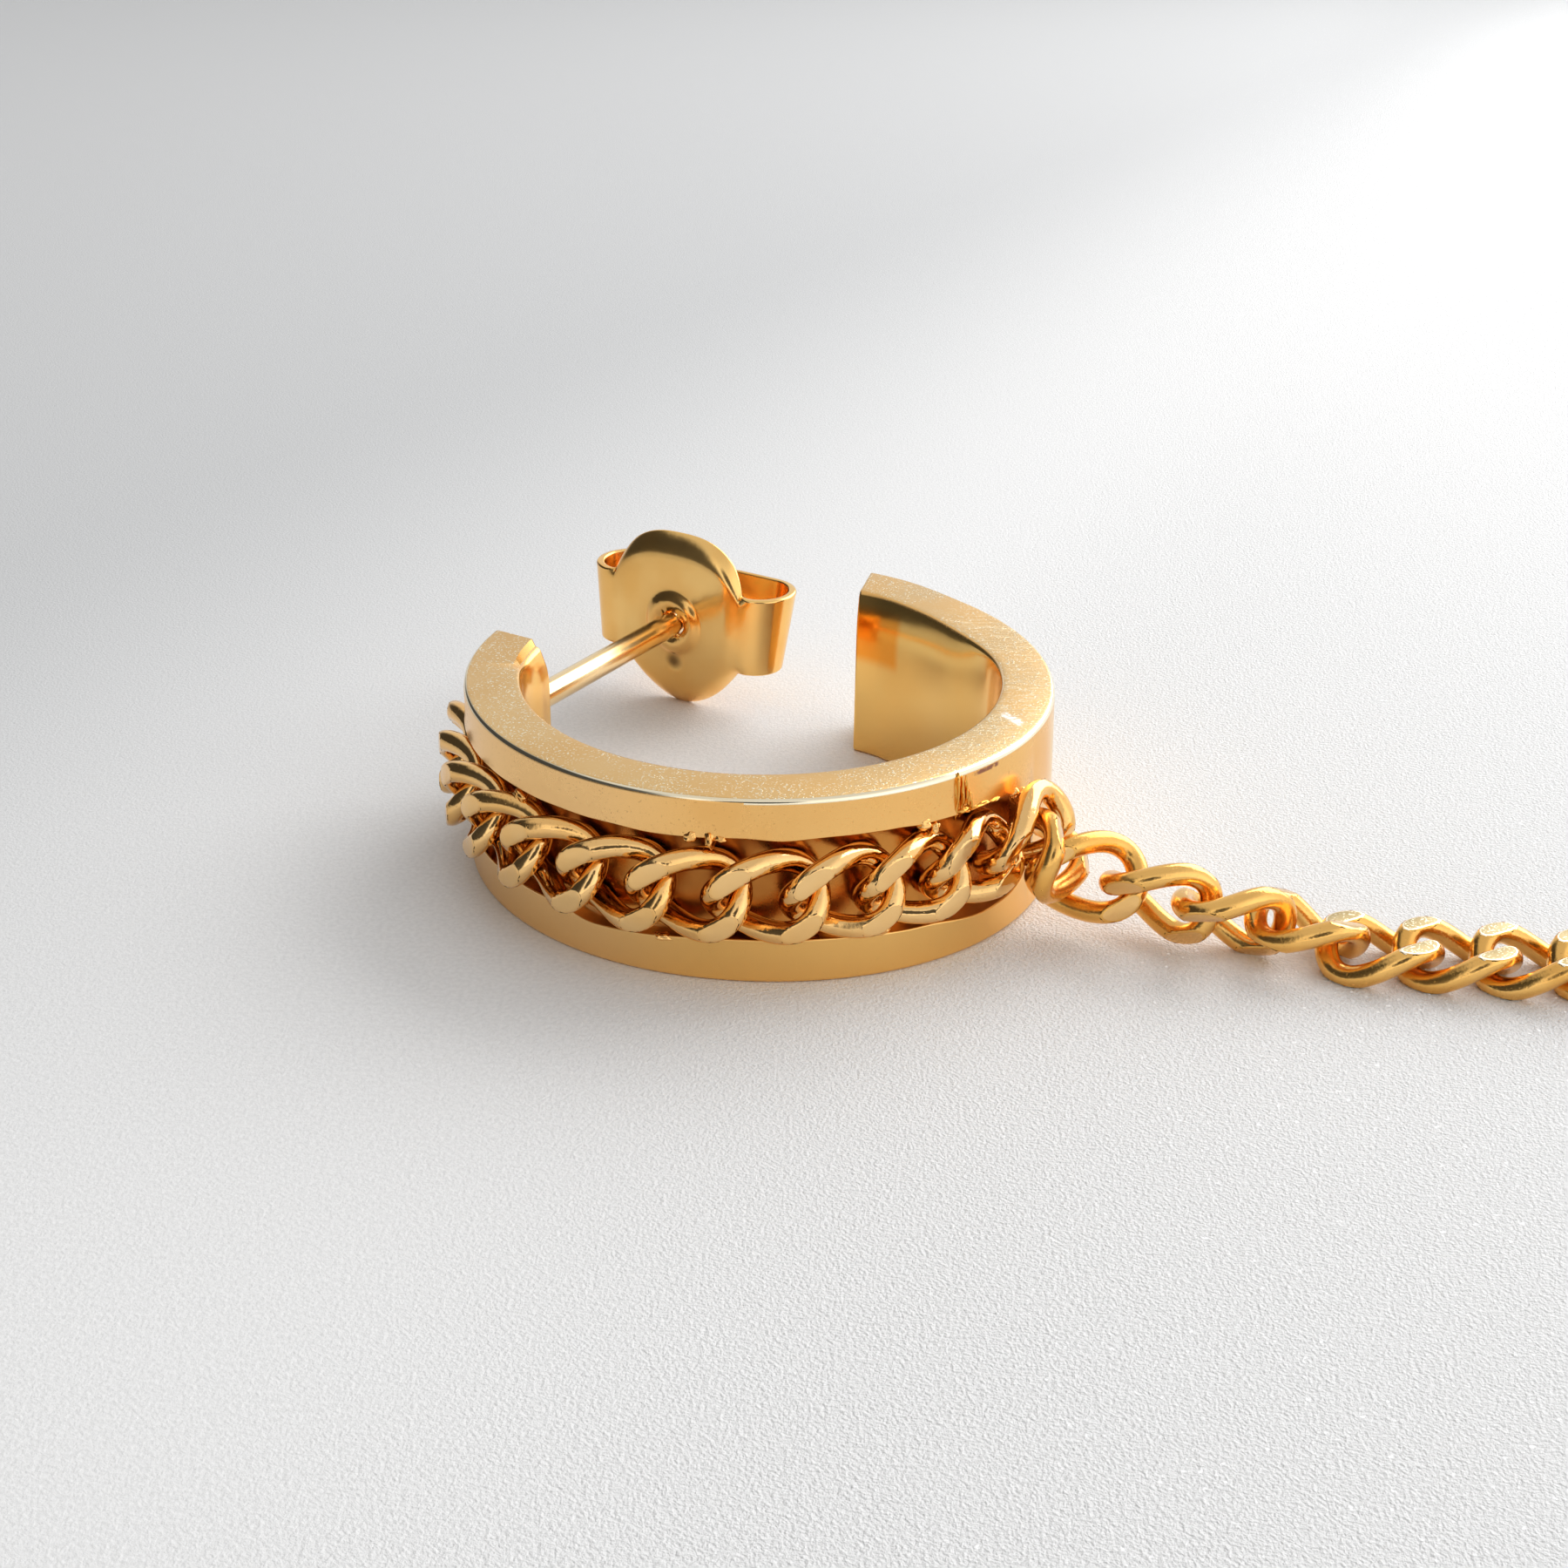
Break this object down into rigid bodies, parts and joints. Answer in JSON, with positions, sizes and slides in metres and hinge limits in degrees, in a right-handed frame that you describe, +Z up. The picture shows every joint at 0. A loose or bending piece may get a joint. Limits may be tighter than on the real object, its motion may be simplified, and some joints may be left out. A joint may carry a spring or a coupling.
{
  "type": "ear chain earring",
  "caption": "Open band earring with a curb chain laid in a channel round it; the chain's free end trails away, and a straight post carries a butterfly ear nut.",
  "frame": {"origin": "middle of the box round the whole earring, on the surface that the band stands on", "axes": "+X towards the chain's loose end, +Y towards the ear nut, +Z up along the band's axis"},
  "size_m": [0.0356, 0.0238, 0.0062],
  "materials": {
    "band_gold": "satin gold plate",
    "nut_gold": "polished gold plate",
    "chain_gold": "polished gold plate"
  },
  "bodies": {
    "earring": {"hoop": "band_gold", "link_01": "chain_gold", "link_02": "chain_gold", "link_03": "chain_gold", "link_04": "chain_gold", "link_05": "chain_gold", "link_06": "chain_gold", "link_07": "chain_gold", "link_08": "chain_gold", "link_09": "chain_gold", "link_10": "chain_gold", "link_11": "chain_gold", "link_12": "chain_gold", "link_13": "chain_gold", "link_14": "chain_gold", "link_15": "chain_gold", "link_16": "chain_gold", "link_17": "chain_gold", "link_18": "chain_gold", "link_19": "chain_gold", "link_20": "chain_gold", "link_21": "chain_gold"},
    "nut": {"ear_nut": "nut_gold"}
  },
  "joints": [
    {"name": "nut_slide", "type": "slide", "parent": "earring", "child": "nut", "axis": [0.515, 0.8572, 0], "range_m": [-0.0081, 0.0028]}
  ]
}
